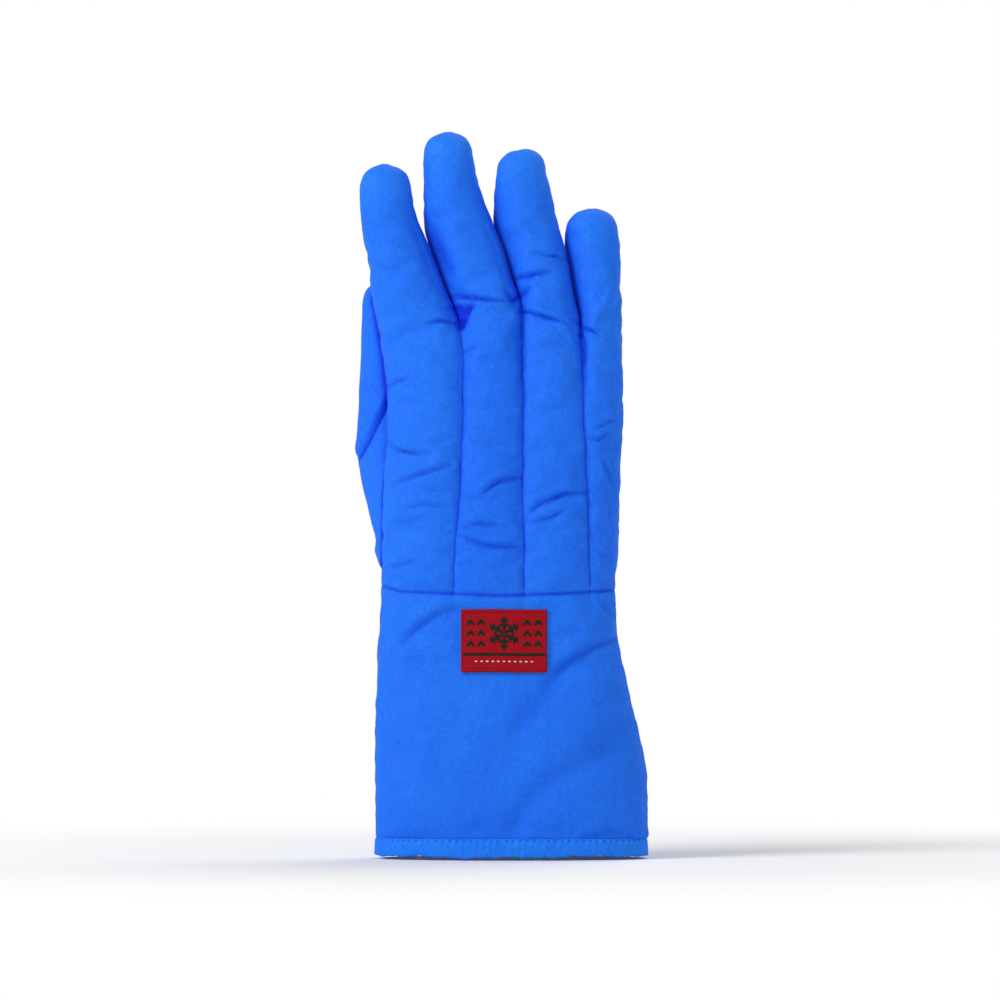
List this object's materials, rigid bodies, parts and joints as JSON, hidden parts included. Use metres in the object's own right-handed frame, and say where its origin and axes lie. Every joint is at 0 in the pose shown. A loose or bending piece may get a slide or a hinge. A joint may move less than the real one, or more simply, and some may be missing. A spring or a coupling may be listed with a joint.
{
  "type": "cryogenic glove",
  "caption": "Insulated cryogenic glove for the right hand, with an open gauntlet, stitched back panels, an opposed thumb and fingers that bend.",
  "frame": {"origin": "middle of the glove's footprint box, level with the hem's lower rim", "axes": "+Z towards the fingertips, -Y out of the back of the hand, +X from the thumb side towards the little finger side"},
  "size_m": [0.1531, 0.0926, 0.3801],
  "materials": {
    "shell_fabric": "matte woven nylon taffeta, bright blue, laminated to a waterproof membrane",
    "insulation": "lofty off-white fibre batting",
    "lining": "soft pale grey knitted lining",
    "seam_thread": "twisted blue sewing thread",
    "label_weave": "tightly woven red satin label",
    "label_thread": "dark red sewing thread"
  },
  "bodies": {
    "cuff": {"hem_band": "shell_fabric", "hem_stitching": "seam_thread", "gauntlet_shell": "shell_fabric", "gauntlet_insulation": "insulation", "gauntlet_lining": "lining", "woven_label": "label_weave", "label_stitching": "label_thread"},
    "hand": {"index_back_panel": "shell_fabric", "middle_back_panel": "shell_fabric", "ring_back_panel": "shell_fabric", "little_back_panel": "shell_fabric", "palm_panel": "shell_fabric", "thumb_gusset": "shell_fabric", "thumb_gusset_insulation": "insulation", "thumb_gusset_lining": "lining", "hand_insulation": "insulation", "hand_lining": "lining", "index_middle_seam": "seam_thread", "middle_ring_seam": "seam_thread", "ring_little_seam": "seam_thread"},
    "index_finger": {"index_shell": "shell_fabric", "index_insulation": "insulation", "index_lining": "lining"},
    "index_fingertip": {"index_tip_shell": "shell_fabric", "index_tip_insulation": "insulation", "index_tip_lining": "lining"},
    "middle_finger": {"middle_shell": "shell_fabric", "middle_insulation": "insulation", "middle_lining": "lining"},
    "middle_fingertip": {"middle_tip_shell": "shell_fabric", "middle_tip_insulation": "insulation", "middle_tip_lining": "lining"},
    "ring_finger": {"ring_shell": "shell_fabric", "ring_insulation": "insulation", "ring_lining": "lining"},
    "ring_fingertip": {"ring_tip_shell": "shell_fabric", "ring_tip_insulation": "insulation", "ring_tip_lining": "lining"},
    "little_finger": {"little_shell": "shell_fabric", "little_insulation": "insulation", "little_lining": "lining"},
    "little_fingertip": {"little_tip_shell": "shell_fabric", "little_tip_insulation": "insulation", "little_tip_lining": "lining"},
    "thumb_base": {"thumb_shell": "shell_fabric", "thumb_insulation": "insulation", "thumb_lining": "lining"},
    "thumb_end": {"thumb_tip_shell": "shell_fabric", "thumb_tip_insulation": "insulation", "thumb_tip_lining": "lining"}
  },
  "joints": [
    {"name": "wrist_bend", "type": "hinge", "parent": "cuff", "child": "hand", "pos_m": [-0.00209, -0.0143, 0.1392], "axis": [-1, 0, 0], "range_deg": [-15, 20]},
    {"name": "index_knuckle", "type": "hinge", "parent": "hand", "child": "index_finger", "pos_m": [-0.04909, -0.0131, 0.295], "axis": [-0.9781, 0, -0.2079], "range_deg": [-8, 45]},
    {"name": "index_bend", "type": "hinge", "parent": "index_finger", "child": "index_fingertip", "pos_m": [-0.05539, -0.0142, 0.325], "axis": [-0.9781, 0, -0.2079], "range_deg": [0, 60]},
    {"name": "middle_knuckle", "type": "hinge", "parent": "hand", "child": "middle_finger", "pos_m": [-0.01299, -0.0118, 0.302], "axis": [-0.9744, 0, -0.225], "range_deg": [-8, 45]},
    {"name": "middle_bend", "type": "hinge", "parent": "middle_finger", "child": "middle_fingertip", "pos_m": [-0.02179, -0.0123, 0.338], "axis": [-0.9744, 0, -0.225], "range_deg": [0, 60]},
    {"name": "ring_knuckle", "type": "hinge", "parent": "hand", "child": "ring_finger", "pos_m": [0.02041, -0.0104, 0.303], "axis": [-0.9903, 0, -0.1392], "range_deg": [-8, 45]},
    {"name": "ring_bend", "type": "hinge", "parent": "ring_finger", "child": "ring_fingertip", "pos_m": [0.01381, -0.0095, 0.3355], "axis": [-0.9903, 0, -0.1392], "range_deg": [0, 60]},
    {"name": "little_knuckle", "type": "hinge", "parent": "hand", "child": "little_finger", "pos_m": [0.05001, -0.009, 0.289], "axis": [-0.9976, 0, -0.0698], "range_deg": [-8, 45]},
    {"name": "little_bend", "type": "hinge", "parent": "little_finger", "child": "little_fingertip", "pos_m": [0.04821, -0.008, 0.3115], "axis": [-0.9976, 0, -0.0698], "range_deg": [0, 60]},
    {"name": "thumb_spread", "type": "hinge", "parent": "hand", "child": "thumb_base", "pos_m": [-0.05989, 0.0177, 0.219], "axis": [0, -0.9781, 0.2079], "range_deg": [-5, 35]},
    {"name": "thumb_bend", "type": "hinge", "parent": "thumb_base", "child": "thumb_end", "pos_m": [-0.05939, 0.0299, 0.258], "axis": [0, 0.9945, -0.1045], "range_deg": [0, 45]}
  ]
}
